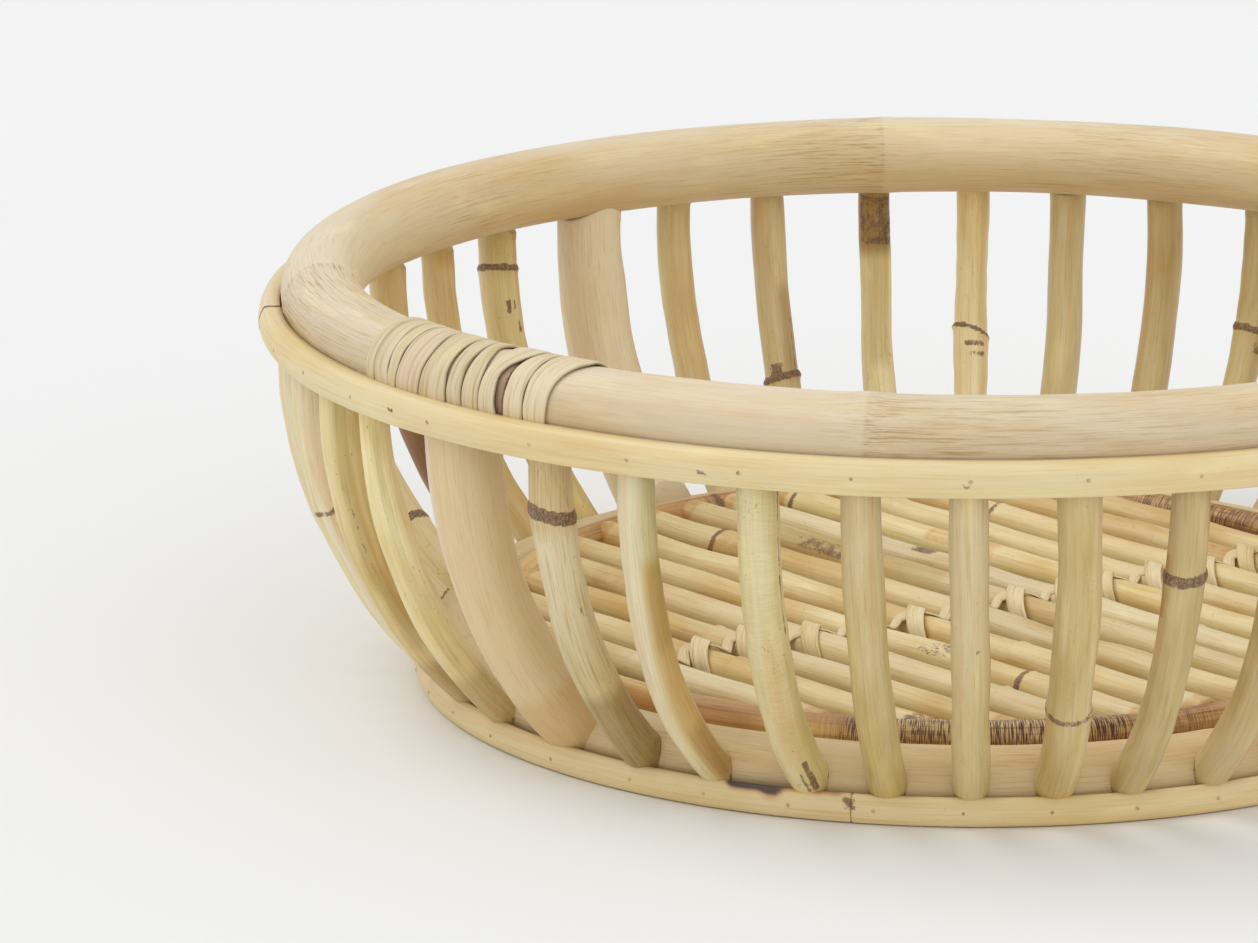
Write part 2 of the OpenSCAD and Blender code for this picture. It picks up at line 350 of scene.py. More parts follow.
def cane_material(name, streak_tint, mottle_tint, roughness, streak_scale, coat=0.0, bump=1.0,
                  cross=(196, 170, 124), hues=0.5):
    """Cane: lengthwise fibres, soft mottling, specks, and the painted dark, golden and cross-ribbed marks.
    The dark mask holds both real dark marks and painted shade where canes meet.
    """
    g = Graph(name)
    cane = g.attribute("cane")
    marks = g.split(g.attribute("marks"))
    grain = g.split(g.attribute("grain"))
    colour = g.attribute("tint")

    broad = g.noise(cane, (55, 55, 14))
    mottled = g.times(g.ramp(broad, 0.42, 0.72), grain[2])
    colour = g.dye(colour, mottled, mottle_tint)
    wash = g.noise(cane, (140, 140, 30), detail=2)
    washed = g.times(g.ramp(wash, 0.5, 0.8, 0, 0.5), grain[2])
    colour = g.mix(washed, colour, rgba(250, 240, 214), "SOFT_LIGHT")

    hue = g.noise(cane, (230, 230, 9), detail=2, roughness=0.5)
    colour = g.dye(colour, g.ramp(hue, 0.5, 0.7, 0, hues), (236, 232, 176))
    colour = g.dye(colour, g.ramp(hue, 0.5, 0.3, 0, hues), (248, 222, 190))

    across, along = streak_scale
    fibre = g.noise(cane, (across, across, along), detail=4, roughness=0.62)
    hair = g.noise(cane, (across * 2.6, across * 2.6, along * 3.5), detail=2)
    streak = g.times(g.ramp(fibre, 0.46, 0.78), grain[0])
    colour = g.dye(colour, streak, streak_tint)
    dash = g.times(g.ramp(hair, 0.56, 0.76, 0, 0.55), grain[0])
    colour = g.dye(colour, dash, streak_tint)

    jag = g.noise(cane, (420, 420, 300), detail=4, roughness=0.7)
    lumps = g.noise(cane, (170, 170, 120), detail=2)
    jagged = g.plus_times(jag, 1.1, g.plus_times(lumps, 0.9, -1.0))
    gold_mask = g.ramp(g.plus_times(jagged, 0.6, marks[1]), 0.1, 1.0)
    gold_mask = g.times(gold_mask, g.ramp(marks[1], 0.0, 0.5))
    colour = g.dye(colour, gold_mask, (226, 184, 116))

    rib = g.noise(cane, (170, 170, 2800), detail=2, roughness=0.5)
    rib_mask = g.times(g.ramp(rib, 0.42, 0.60), marks[2])
    colour = g.dye(colour, rib_mask, cross)

    dots = g.noise(cane, (900, 900, 620), detail=2, roughness=0.5)
    gate = g.noise(cane, (110, 110, 60), detail=2)
    speck = g.times(g.ramp(dots, 0.64, 0.76), g.ramp(gate, 0.45, 0.6))
    speck = g.times(speck, grain[1])
    colour = g.mix(speck, colour, rgba(132, 102, 64))

    grit = g.noise(cane, (1700, 1700, 900), roughness=0.65)
    ragged = g.plus_times(grit, 0.9, g.math("ADD", jagged, -0.45))
    dark = g.ramp(g.math("ADD", marks[0], ragged), 0.36, 0.66)
    dark = g.times(dark, g.ramp(marks[0], 0.02, 0.3))
    # The dark mask turns scorch brown: real dark marks, and painted shade where uprights meet the poles
    scorch_and_painted_shade = g.mix(g.ramp(grit, 0.38, 0.62), rgba(66, 46, 34), rgba(146, 110, 76))
    colour = g.mix(g.times(dark, 0.88), colour, scorch_and_painted_shade)
    rough = g.plus_times(dark, 0.15, g.ramp(fibre, 0.3, 0.8, roughness - 0.06, roughness + 0.1))

    height = g.times(fibre, g.plus_times(grain[0], 0.7, 0.3))
    height = g.plus_times(hair, 0.35, height)
    height = g.plus_times(rib_mask, -0.9, height)
    height = g.plus_times(g.times(dark, jag), -1.2, height)
    return g.finish(height, 0.55 * bump, 0.00022, Base_Color=colour, Roughness=rough, Coat_Weight=coat,
                    Coat_Roughness=0.35)


def steel_material():
    """Dull steel with a little grain and rust."""
    g = Graph("steel_brad")
    grime = g.noise(g.attribute("cane"), (900, 900, 900))
    colour = g.mix(g.ramp(grime, 0.4, 0.7), rgba(206, 186, 146), rgba(160, 132, 96))
    rough = g.ramp(grime, 0.3, 0.7, 0.32, 0.55)
    return g.finish(grime, 0.3, 0.0001, Base_Color=colour, Metallic=0.35, Roughness=rough)


PEELED = cane_material("peeled_cane", (218, 198, 168), (248, 236, 216), 0.56, (1900, 55), hues=0.2)
SPLIT = cane_material("split_cane", (226, 204, 160), (248, 236, 208), 0.48, (1300, 30), 0.1, 0.6, hues=0.3)
SKIN = cane_material("skin_cane", (214, 192, 140), (232, 218, 172), 0.46, (1400, 45), 0.12, 0.7)
FLOOR = cane_material("floor_cane", (216, 190, 142), (236, 218, 178), 0.44, (1300, 40), 0.12, 0.7, hues=0.4)
BROWN = cane_material("brown_cane", (176, 130, 84), (222, 186, 136), 0.42, (1100, 30), 0.15, 1.1,
                      cross=(104, 70, 46))
PEEL = cane_material("peel_strip", (206, 180, 140), (242, 232, 208), 0.55, (1500, 40), bump=1.2, hues=0.3)
STEEL = steel_material()


# ---- Bent rings ----

# On the brown ring, as azimuths: golden stretches, and plum patches with the side that they face
GOLDEN = ((-112, -60), (118, 160), (205, 238), (20, 52))
PLUM = (0.66, 0.50, 0.44)
PLUM_AT = ((-110, -96, 60), (-92, -70, 20), (-76, -58, 75), (24, 48, 40), (120, 150, 60), (208, 232, 30))
# Cross-ribbed stretches: start, end, softness and strength
RIBBED = ((-59, -24, 4, 1.0), (82, 108, 5, 0.8))
# Painted shade and painted light on the rim pole: how much darker than its top its outer and inner sides are,
# and how much warmer the top is
RIM_OUTER_PAINTED_SHADE = (0.10, 0.10, 0.08)
RIM_INNER_PAINTED_SHADE = (0.0, 0.03, 0.12)
RIM_TOP_PAINTED_LIGHT = (0.0, 0.03, 0.10)
RIM_JOINT_TONE = (0.55, 0.42, 0.38)
# Bruises on the rim band: azimuth and the side that they face
BRUISES = ((-93.1, 10), (-63.2, -30), (-43.1, -28), (12, 20), (77, -15), (131, 5), (190, 12))
# The scorched edge of the base band: a nearly black part, a brown part, and a warm halo round both
STAIN_BLACK = (0.88, 0.87, 0.76)
STAIN_BROWN = (0.30, 0.46, 0.48)
STAIN_HALO = (0.12, 0.30, 0.34)


def ring_size(node):
    """Centre radius, cane radius and height of a bent ring, in millimetres, from its CAD box."""
    centre, half = extent(node)
    return half[0] - half[2], half[2], centre[2]


def ring_stations(joint, gap, stations, radius):
    """Azimuths, in radians, and lengths round a ring, from one side of its butt joint to the other."""
    azimuth = np.radians(np.linspace(joint + gap, joint + 360 - gap, stations))
    along = with_end_rings((azimuth - azimuth[0]) * radius, 0.5)
    azimuth = azimuth[0] + along / radius
    return azimuth, along, np.stack([np.cos(azimuth), np.sin(azimuth), 0 * azimuth], -1)


def node_swell(azimuth_deg, at, radius, swell, width):
    """A bent cane's swelling at a node, with a soft groove beside its ridge."""
    d = np.radians(turn_between(azimuth_deg, at)) * radius
    groove = np.exp(-((d - 0.5 * width) / (0.4 * width)) ** 2)
    return swell * np.exp(-(d / width) ** 2) - 0.25 * swell * groove


def bent_pole(name, joint, nodes, tint, rng, stations, around, swell=0.45):
    """A steam-bent cane of nearly round section, from one side of its butt joint round to the other."""
    centre_r, cane_r, z = ring_size(name)
    azimuth, along, out = ring_stations(joint, 0.06, stations, centre_r)
    degrees = np.degrees(azimuth)
    theta = angles(around)
    thick = waver(rng, 0.10, 160)(along)
    for at in nodes:
        thick += node_swell(degrees, at, centre_r, swell * rng.uniform(0.4, 1.0), 4.5)
    oval = waver(rng, 0.10, 300)(along)[:, None] * np.cos(2 * theta)
    lumps = waver(rng, 0.05, 45)(along)[:, None] * np.cos(3 * theta + 1)
    radius = cane_r - 0.35 + thick[:, None] + oval + lumps
    radius = round_ends(np.minimum(radius, cane_r + 0.25), along, 0.5)
    rings = tube_rings(centre_r * out + (0, 0, z), out, UP, radius, theta)
    look = paint(radius.shape, tint, mottle=0.8)
    look["cane"] = straight_coordinates(radius, theta, along, rng)
    return degrees, along, theta, rings, look


def rim_pole(rng):
    tint = linear(224, 206, 173)
    degrees, along, theta, rings, look = bent_pole("rim_pole", RIM_JOINT, RIM_NODES, tint, rng, 1000, 56)
    streak = 0.5 + 0.2 * waver(rng, 1, 220)(along)
    for at in RIM_NODES:
        d = turn_between(degrees, at)
        streak += 1.1 * np.exp(-(np.maximum(d, 0) / 14) ** 2) * (d > 0) + 0.25 * np.exp(-(d / 3) ** 2)
        pale = smooth((d + 26) / 24) * (d < 0)
        look["tint"] += (0.035 * pale)[:, None, None]
    look["grain"][..., 0] = np.clip(streak, 0.2, 1.7)[:, None]
    # Painted light and shade: the top of the pole is made lighter, its outer and inner sides darker
    above = smooth((np.sin(theta + 0.35) - 0.6) / 0.4)[:, None]
    outer, inner = (smooth((side * np.cos(theta) - 0.1) / 0.5)[:, None] for side in (1, -1))
    shade = (1 - above) * (outer * RIM_OUTER_PAINTED_SHADE + inner * RIM_INNER_PAINTED_SHADE)
    look["tint"] *= (1 + above * RIM_TOP_PAINTED_LIGHT) * (1 - shade)
    for end in (RIM_JOINT, RIM_JOINT + 360):
        add_tone(look, degrees, theta, RIM_JOINT_TONE, end - 1.5, end + 1.5, 0, 360, 1.0, soft=0.5)
    add_joint(look, degrees, theta, RIM_JOINT, 0.15, 0.15, strength=0.8, soft=0.15)
    skin("rim_pole", [rings], [look], PEELED, "peeled_cane", "rim_pole")


def base_pole(rng):
    tint = linear(222, 200, 158)
    degrees, along, theta, rings, look = bent_pole("base_pole", BASE_JOINT, BASE_NODES, tint, rng, 800, 44)
    look["grain"][..., 0] = (0.55 + 0.2 * waver(rng, 1, 160)(along))[:, None]
    for at in BASE_NODES:
        add_patch(look, degrees, theta, CROSS, at - 0.3, at + 0.3, strength=0.4, soft=0.4)
    skin("base_pole", [rings], [look], PEELED, "peeled_cane", "base_pole")


def floor_ring(rng):
    degrees, along, theta, rings, look = bent_pole(
        "floor_ring", FLOOR_JOINT, FLOOR_RING_NODES, linear(200, 160, 104), rng, 760, 32, 0.35)
    turn_tint(look, arc(degrees, -59, -22, 4)[:, None, None], linear(216, 188, 140))
    golden = np.max([arc(degrees, start, end, 6) for start, end in GOLDEN], axis=0)
    turn_tint(look, golden[:, None, None], linear(228, 194, 126))
    ribbed = 0.25 + 0.2 * waver(rng, 1, 60)(along)
    for start, end, soft, strength in RIBBED:
        ribbed = np.maximum(ribbed, strength * arc(degrees, start, end, soft))
    look["marks"][..., CROSS] = np.clip(ribbed * (1 - 0.85 * golden), 0, 1)[:, None]
    look["grain"][..., 0] = (1.1 - 0.5 * golden)[:, None]
    look["grain"][..., 2] = (1.0 - 0.7 * golden)[:, None]
    for start, end, facing in PLUM_AT:
        for lap in (0, 360):
            add_tone(look, degrees, theta, PLUM, start + lap, end + lap, facing, 44, 0.8, soft=6.0)
    for at in FLOOR_RING_NODES:
        add_patch(look, degrees, theta, DARK, at - 0.3, at + 0.4, strength=0.75, soft=0.4)
    skin("floor_ring", [rings], [look], BROWN, "brown_cane", "floor_ring")


def band_outline(thick, height, crown, lip):
    """Section of a split cane: flat inside, crowned outside, with rounded edges. Columns are outward and
    upward. The upper inner edge can have a thin lip, which closes the gap to the rim pole."""
    half = height / 2
    reach = math.asin((half - BAND_CORNER * 0.35) / crown)
    bend = np.linspace(-reach, reach, 17)
    outer = np.stack([thick - crown + crown * np.cos(bend), crown * np.sin(bend)], -1)
    flat = np.linspace(half - BAND_CORNER, BAND_CORNER - half, 7)
    inner = np.stack([0 * flat, flat], -1)
    top = np.array([[outer[-1, 0] * 0.62, half], [BAND_CORNER * 0.5, half - BAND_CORNER * 0.12]])
    bottom = top[::-1] * (1, -1)
    if lip:
        top = np.concatenate([top, [[-lip, half - 0.15], [-lip, half - 0.35], [0.05, half - 0.45]]])
    return np.concatenate([outer, top, inner, bottom])


def split_band(name, joint, rng, tint):
    """A split cane nailed round the uprights' ends, with a butt joint."""
    centre, half = extent(name)
    thick, height = BAND_THICK[name], 2 * half[2]
    inner_r = half[0] - thick
    azimuth, along, out = ring_stations(joint, 0.03, 900, inner_r)
    outline = band_outline(thick - 0.15, height - 0.3, BAND_CROWN[name], BAND_LIP[name])
    swell = waver(rng, 0.12, 120)(along)
    drift = waver(rng, 0.06, 260)(along)
    section = np.repeat(outline[None], len(along), 0)
    section[..., 0] *= (1 + 0.6 * swell / thick)[:, None]
    section[..., 1] *= (0.99 + 0.05 * swell / height)[:, None]
    ridge = np.exp(-((section[..., 1] + 0.12 * height) / 0.9) ** 2) * (section[..., 0] > thick / 2)
    section[..., 0] += 0.10 * ridge
    near = np.minimum(along, along.max() - along)
    shrink = 1 - 0.10 * (1 - np.clip(near / 0.5, 0, 1)) ** 2
    section = section * shrink[:, None, None]
    lift = drift if name == "rim_band" else np.abs(drift)
    height_at = centre[2] + lift[:, None] + section[..., 1]
    rings = (inner_r + section[..., :1]) * out[:, None] + height_at[..., None] * UP
    look = paint(section.shape[:2], tint, streak=0.4, speck=0.15, mottle=0.7)
    theta = np.arctan2(section[0, :, 1], section[0, :, 0] - thick / 2)
    # Painted light: the lower face of the band is made 5% lighter
    lower_painted_light = smooth((-section[..., 1] - 0.1 * height) / 1.2)
    look["tint"] *= 1 + 0.05 * lower_painted_light[..., None]
    look["cane"] = strip_coordinates(section + (rng.random() * GRAIN_SPAN, 0), along)
    return np.degrees(azimuth), theta, rings, look


def rim_band(rng):
    degrees, theta, rings, look = split_band("rim_band", RIM_BAND_JOINT, rng, linear(230, 212, 166))
    add_joint(look, degrees, theta, RIM_BAND_JOINT, 0.16, 0.16, strength=0.9, soft=0.12)
    pink = smooth((degrees - (RIM_BAND_JOINT + 300)) / 60)
    look["tint"] *= 1 + pink[:, None, None] * (0.0, -0.03, 0.12)
    for at, facing in BRUISES:
        add_patch(look, degrees, theta, DARK, at - 0.30, at + 0.30, facing, 20, 0.55, soft=0.25, turn_soft=12)
    skin("rim_band", [rings], [look], SPLIT, "split_cane", "rim_band")


def base_band(rng):
    degrees, theta, rings, look = split_band("base_band", BASE_BAND_JOINT, rng, linear(228, 206, 158))
    add_joint(look, degrees, theta, BASE_BAND_JOINT, 0.6, 0.3, facing=40, spread=60, strength=0.55, soft=0.5)
    below_top = rings[..., 2] - rings[..., 2].max()
    depth = 1.9 * window(degrees, 293.6, 298.2, 1.2) + 0.9 * window(degrees, 298, 304.5, 2.0)
    depth = (depth + waver(rng, 0.12, 3)(degrees))[:, None]
    stain = smooth((below_top + depth) / 1.1) * window(degrees, 293.0, 305, 0.6)[:, None]
    black = window(degrees, 292.2, 298.4, 1.2)[:, None, None]
    look["tint"] *= 1 - stain[..., None] * (black * STAIN_BLACK + (1 - black) * STAIN_BROWN)
    halo = smooth((below_top + 1.6 * depth) / 1.6) * window(degrees, 292.4, 304.0, 1.5)[:, None]
    look["tint"] *= 1 - halo[..., None] * STAIN_HALO
    skin("base_band", [rings], [look], SPLIT, "split_cane", "base_band")


# ---- Uprights ----

# How a stave or post looks. Lengths are millimetres down from its top, and angles are degrees round it: 0
# faces out of the basket and 90 the next upright anticlockwise. low is the tint near the foot, side is a
# facing and the tint of the painted light and shade on that side, a ring is (place, swelling, darkness, slant,
# height), a patch is as in add_marks, a notch is (facing, depth), and drift is how far the cane has moved
# sideways at DRIFT_AT.
Upright = namedtuple(
    "Upright", "tint low side rings patches shift lean top notch streak speck mottle thin thin_top drift",
    defaults=(None, None, (), (), 0.0, 0.0, 0.0, None, 0.5, 0.3, 0.9, 0.0, 0.0, (0, 0, 0, 0)))
# Shares of an upright's length
DRIFT_AT = (0, 1 / 3, 2 / 3, 1)
# Colours that a patch multiplies the tint by
OLIVE = (0.62, 0.60, 0.36)
UMBER = (0.42, 0.30, 0.16)
SCORCH = (0.34, 0.20, 0.16)
ASH = (0.86, 0.88, 0.96)
AMBER = (0.76, 0.56, 0.26)

LOOKS = {
    "stave_33": Upright((240, 228, 196), speck=0.1, mottle=0.5),
    "stave_34": Upright((243, 232, 202), speck=0.1, mottle=0.5, rings=[(60, 0.3, 0.0, 0, 1)], patches=[
        (DARK, 59.2, 60.0, 65, 130, 0.6), (DARK, 58.2, 60.2, 118, 60, 0.75), (DARK, 74, 112, 94, 4, 0.7),
        (OLIVE, 70, 120, 110, 40, 0.3)]),
    "stave_35": Upright((236, 217, 163), (226, 204, 152), speck=0.5, patches=[
        (OLIVE, 15, 100, 66, 24, 0.5), (DARK, 45, 84, 60, 4, 0.55), (UMBER, 114, 128, 60, 140, 0.6)]),
    "stave_36": Upright((252, 242, 196), (234, 214, 162), speck=0.7, top=-5.0, thin_top=1.0, patches=[
        (OLIVE, 20, 100, 62, 16, 0.4), (DARK, 25, 70, 58, 4, 0.55), (UMBER, 112, 128, 60, 100, 0.5)]),
    "post_1": Upright(
        (241, 232, 230), (230, 207, 158), (88, (227, 203, 158)), streak=0.4, speck=0.05, mottle=0.4, thin=1.5,
        thin_top=-1.2, drift=(-4.9, -3.6, -2.5, 0), patches=[(AMBER, 112, 128, 50, 90, 0.4)]),
    "stave_01": Upright(
        (226, 213, 176), (205, 185, 134), speck=0.4, streak=0.9, drift=(-1.6, -0.9, 0.4, 1.2),
        rings=[(28.5, 0.5, 1.1, -3.7, 3.6)], patches=[
            (AMBER, 14, 30, 30, 120, 0.5), (UMBER, 98, 128, 80, 140, 0.6), (DARK, 60, 63, 75, 6, 0.6),
            (DARK, 112, 128, 84, 60, 0.3)]),
    "stave_02": Upright(
        (230, 218, 181), (230, 214, 177), speck=0.2, mottle=0.6, drift=(-3.4, -3.0, -2.2, 2.0), patches=[
            (AMBER, 42, 126, 78, 60, 0.9), (UMBER, 108, 126, 78, 50, 0.35), (DARK, 62, 63, 30, 8, 0.4),
            (OLIVE, 0, 66, 100, 80, 0.5)]),
    "stave_03": Upright(
        (230, 216, 170), (230, 214, 164), speck=0.7, streak=0.25, drift=(2.6, 3.0, 3.6, 5.6), patches=[
            (CROSS, 8, 112, 5, 120, 0.13), (DARK, 2, 60, 82, 5, 0.66), (OLIVE, 4, 112, 88, 40, 0.2),
            (DARK, 112, 128, 40, 9, 0.8), (DARK, 116, 128, 20, 7, 0.66), (DARK, 110, 128, -58, 8, 0.8)]),
    "stave_04": Upright((218, 199, 156), (216, 196, 145), drift=(1.0, 1.8, 2.9, 3.1), patches=[
        (OLIVE, 0, 126, 60, 50, 0.2)]),
    "stave_05": Upright((219, 200, 157), (216, 196, 145), lean=2.3, patches=[
        (DARK, 3, 6, 12, 12, 0.6), (DARK, 60, 61, 20, 8, 0.45), (OLIVE, 0, 126, 60, 50, 0.2)]),
    "stave_06": Upright((220, 200, 154), speck=0.4, lean=1.8, rings=[(88, 0.4, 0.6, 2, 1.6)]),
    "stave_23": Upright(
        (252, 236, 188), (246, 230, 186), shift=-1.5, rings=[(64.5, 0.8, 0.85, 5, 1.2)], patches=[
            (DARK, 69, 70, 195, 60, 0.55), (DARK, 73, 74, 200, 50, 0.5), (OLIVE, 0, 64, 225, 30, 0.3)]),
    "stave_24": Upright((240, 222, 172), (244, 228, 182), speck=0.6, thin=1.0, shift=-2.1, patches=[
        (DARK, 5, 31, 184, 130, 0.62), (UMBER, 0, 31, 175, 200, 0.85), (OLIVE, 28, 74, 182, 50, 0.5)]),
    "stave_25": Upright((218, 197, 150), shift=1.0, lean=-2.2, rings=[(80, 0.9, 0.85, -3, 2.4)], patches=[
        (UMBER, 50, 80, 225, 50, 0.5), (DARK, 58, 79, 225, 6, 0.6), (DARK, 76, 82, 150, 30, 0.7)]),
    "stave_26": Upright((220, 201, 151), speck=0.15, streak=0.4, shift=1.0, lean=-2.2),
    "post_4": Upright((230, 210, 170), (233, 214, 180), (110, (238, 222, 190)), speck=0.05, mottle=0.5,
                      thin=0.5, thin_top=0.9),
    "stave_27": Upright(
        (226, 206, 152), speck=0.5, shift=-2.3, notch=(235, 3.0), rings=[(26, 0.6, 0.8, 3, 2.0)], patches=[
            (DARK, 38, 42, 160, 8, 0.8), (DARK, 38, 41, 183, 5, 0.75), (DARK, 46, 50, 190, 8, 0.8),
            (OLIVE, 0, 24, 180, 120, 0.25)]),
    "stave_28": Upright((219, 194, 140), speck=0.2, shift=-4.2, notch=(235, 4.0), patches=[
        (AMBER, 8, 15, 190, 90, 0.5)]),
    "stave_29": Upright((221, 198, 144), speck=0.5, shift=-4.2, notch=(235, 4.0), patches=[
        (SCORCH, 72, 95, 180, 240, 0.95), (DARK, 76, 93, 180, 150, 0.4)]),
    "stave_30": Upright((238, 222, 178), speck=0.4, shift=3.5, rings=[(103, 0.4, 0.95, 8, 2.4)]),
    "stave_31": Upright((236, 219, 174), shift=1.5)}

# Tints and chances for the uprights that have no look of their own
TINTS = ((214, 194, 148), (206, 186, 138), (220, 204, 158), (200, 178, 128), (212, 190, 142), (218, 198, 150))
RING_CHANCE = 0.55
RING_SPANS = ((18, 104), (0.3, 0.8), (0.5, 1), (-3, 3), (1.2, 3.2))
# Kind, chance, and the ranges of the start, length and spread, then the strength
PATCH_CHANCES = (
    (GOLD, 0.4, (10, 90), (10, 40), (30, 90), 0.7), (DARK, 0.3, (10, 110), (1, 5), (10, 40), 0.6))


def plain_upright(rng, post):
    """A look for an upright that isn't in LOOKS, drawn at random."""
    if post:
        return Upright((220, 200, 164), (214, 190, 148), speck=0.05, mottle=0.5)
    first, second = rng.choice(len(TINTS), 2, replace=False)
    rings, patches = [], []
    if rng.random() < RING_CHANCE:
        rings.append([rng.uniform(*span) for span in RING_SPANS])
    for kind, chance, starts, lengths, spreads, strength in PATCH_CHANCES:
        if rng.random() < chance:
            start = rng.uniform(*starts)
            patches.append((kind, start, start + rng.uniform(*lengths), rng.uniform(-180, 180),
                            rng.uniform(*spreads), strength))
    return Upright(TINTS[first], TINTS[second], rings=rings, patches=patches, speck=rng.uniform(0.1, 0.7),
                   lean=rng.uniform(-1.2, 1.2), top=rng.uniform(-0.6, 0.6))


def upright_place(node):
    """Azimuth of an upright, in radians, and its thickness, in millimetres, from its CAD mesh."""
    points = np.array([v.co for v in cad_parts[node].data.vertices]) / MM
    azimuth = math.atan2(points[:, 1].mean(), points[:, 0].mean())
    for _ in range(3):
        across = points[:, 1] * math.cos(azimuth) - points[:, 0] * math.sin(azimuth)
        azimuth += (across.max() + across.min()) / 2 / UPRIGHT_SPAN_R
    return azimuth, across.max() - across.min()


def outer_line(along):
    """Radius and height of an upright's outside, and the angle that it has turned through, at each length."""
    bend = np.maximum(along - STRAIGHT, 0) / CURVE_R
    radius = UPRIGHT_SPAN_R - CURVE_R * (1 - np.cos(bend))
    z = np.where(along < STRAIGHT, TOP_Z - along, CURVE_Z - CURVE_R * np.sin(bend))
    return radius, z, bend


def cane_ring_shape(distance, swell, height):
    """Change of radius across a stave's node: a ridge, a groove and a slightly thicker cane below it."""
    ridge = np.exp(-(distance / (0.45 * height + 0.5)) ** 2)
    groove = np.exp(-((distance + 0.55 * height + 0.4) / 0.5) ** 2)
    below = smooth(distance / 2 + 0.5) * np.exp(-np.maximum(distance, 0) / 14)
    return swell * (0.75 * ridge + 0.5 * below) - 0.35 * swell * groove


def upright(node, look, rng, rim, base):
    post = node.startswith("post")
    azimuth, thick = upright_place(node)
    cane_r = thick / 2 - 0.12
    theta = angles(56 if post else 40)
    full = STRAIGHT + CURVE_R * math.radians(FOOT_DEG)

    # Where each line along the cane starts, under the rim pole, and ends, over the base pole
    reach = cane_r * np.cos(theta) - cane_r
    at_r = UPRIGHT_SPAN_R + reach
    rim_r, rim_cane, rim_z = rim
    inside = np.clip((at_r - rim_r) / (rim_cane - 0.1), -1, 1)
    under = rim_z - (rim_cane + 0.05) * np.sqrt(1 - inside ** 2)
    contact = np.where(at_r < rim_r + rim_cane - 0.1, np.clip(TOP_Z - under, 0.0, 20.0), 0.0)
    start = contact
    if look.notch:
        start = start + look.notch[1] * smooth(1.4 * np.cos(theta - math.radians(look.notch[0])) - 0.25)
    cut = np.arccos(np.clip((FOOT_CUT_R - UPRIGHT_SPAN_R + CURVE_R) / (CURVE_R + reach), -1, 1))
    end = STRAIGHT + CURVE_R * np.minimum(math.radians(FOOT_DEG), cut)

    share = [np.linspace(0, 0.04, 14)[:-1], np.linspace(0.04, 0.955, 160), np.linspace(0.955, 1, 16)[1:]]
    share = np.concatenate(share)
    middle = share * full
    along = middle[:, None] + smooth(1 - share / 0.12)[:, None] * start
    along = along + smooth((share - 0.85) / 0.15)[:, None] * (end - full)
    radius = cane_r + waver(rng, 0.14, 70)(middle)[:, None] + 0.12 * np.cos(2 * theta + rng.random() * 6)
    thin = look.thin * (1 - smooth((middle - 90) / 40)) + look.thin_top * (1 - smooth(middle / 60))
    lumps = waver(rng, 0.07, 22)(middle)[:, None] * np.cos(theta * 3 + rng.random() * 6)
    radius = radius - thin[:, None] + lumps
    offsets = [along - place - slant * np.cos(theta + 1.0) * 0.5 for place, _, _, slant, _ in look.rings]
    for off, (_, swell, _, _, height) in zip(offsets, look.rings):
        radius = radius + cane_ring_shape(off, swell, height)
    radius = np.minimum(radius, cane_r + 1.0)

    out_r, out_z, bend = outer_line(along)
    in_by = cane_r - radius * np.cos(theta)
    flat_r = out_r - in_by * np.cos(bend)
    flat_z = out_z + in_by * np.sin(bend)
    lean = look.shift + look.lean * smooth(share) + look.top * (1 - smooth(middle / 70))
    lean = lean + np.polyval(np.polyfit(DRIFT_AT, look.drift, 3), share) + waver(rng, 0.18, 90)(middle)
    across = radius * np.sin(theta) + lean[:, None]
    c, s = math.cos(azimuth), math.sin(azimuth)
    rings = np.stack([flat_r * c - across * s, flat_r * s + across * c, flat_z], -1)

    marks = paint(radius.shape, linear(*look.tint), look.streak, look.speck, look.mottle)
    if look.low:
        turn_tint(marks, smooth((middle - 30) / 80)[:, None, None], linear(*look.low))
    # Painted shade and light on one side: post_1's side facing 88 is painted darker, post_4's side facing 110
    # lighter
    if look.side:
        facing, tint = look.side
        turn_tint(marks, smooth((90 - turn_from(theta, facing)) / 50 + 1)[:, None], linear(*tint))
    add_marks(marks, middle, theta, look.patches, 1.2, 1.2)
    dark = marks["marks"][..., DARK]
    for off, (_, _, darkness, _, height) in zip(offsets, look.rings):
        dark[:] = np.maximum(dark, darkness * window(off, -height / 2, height / 2, 0.8))
    base_r, base_cane, base_z = base
    # Painted shade, put into the dark mask: where the upright meets the base pole and at its foot's cut end
    gap = np.hypot(flat_r - base_r, flat_z - base_z) - base_cane
    touch_painted_shade = (0.0 if post else 0.6) * smooth(1.1 - np.abs(gap) / 0.9)
    foot = (0.1 if post else 0.55) * smooth(1 - (end - along) / 1.2)
    dark[:] = np.maximum(dark, np.maximum(touch_painted_shade, foot))
    # Painted shade at the top end, where the upright tucks under the rim pole
    tucked_painted_shade = smooth(1 - (along - contact) / 1.3) * (at_r < rim_r + rim_cane)
    marks["tint"] *= 1 - 0.7 * tucked_painted_shade[..., None]
    marks["cane"] = straight_coordinates(radius, theta, middle, rng)
    skin(node, [rings], [marks], *((PEELED, "peeled_cane") if post else (SKIN, "skin_cane")), node)


# ---- Floor ----

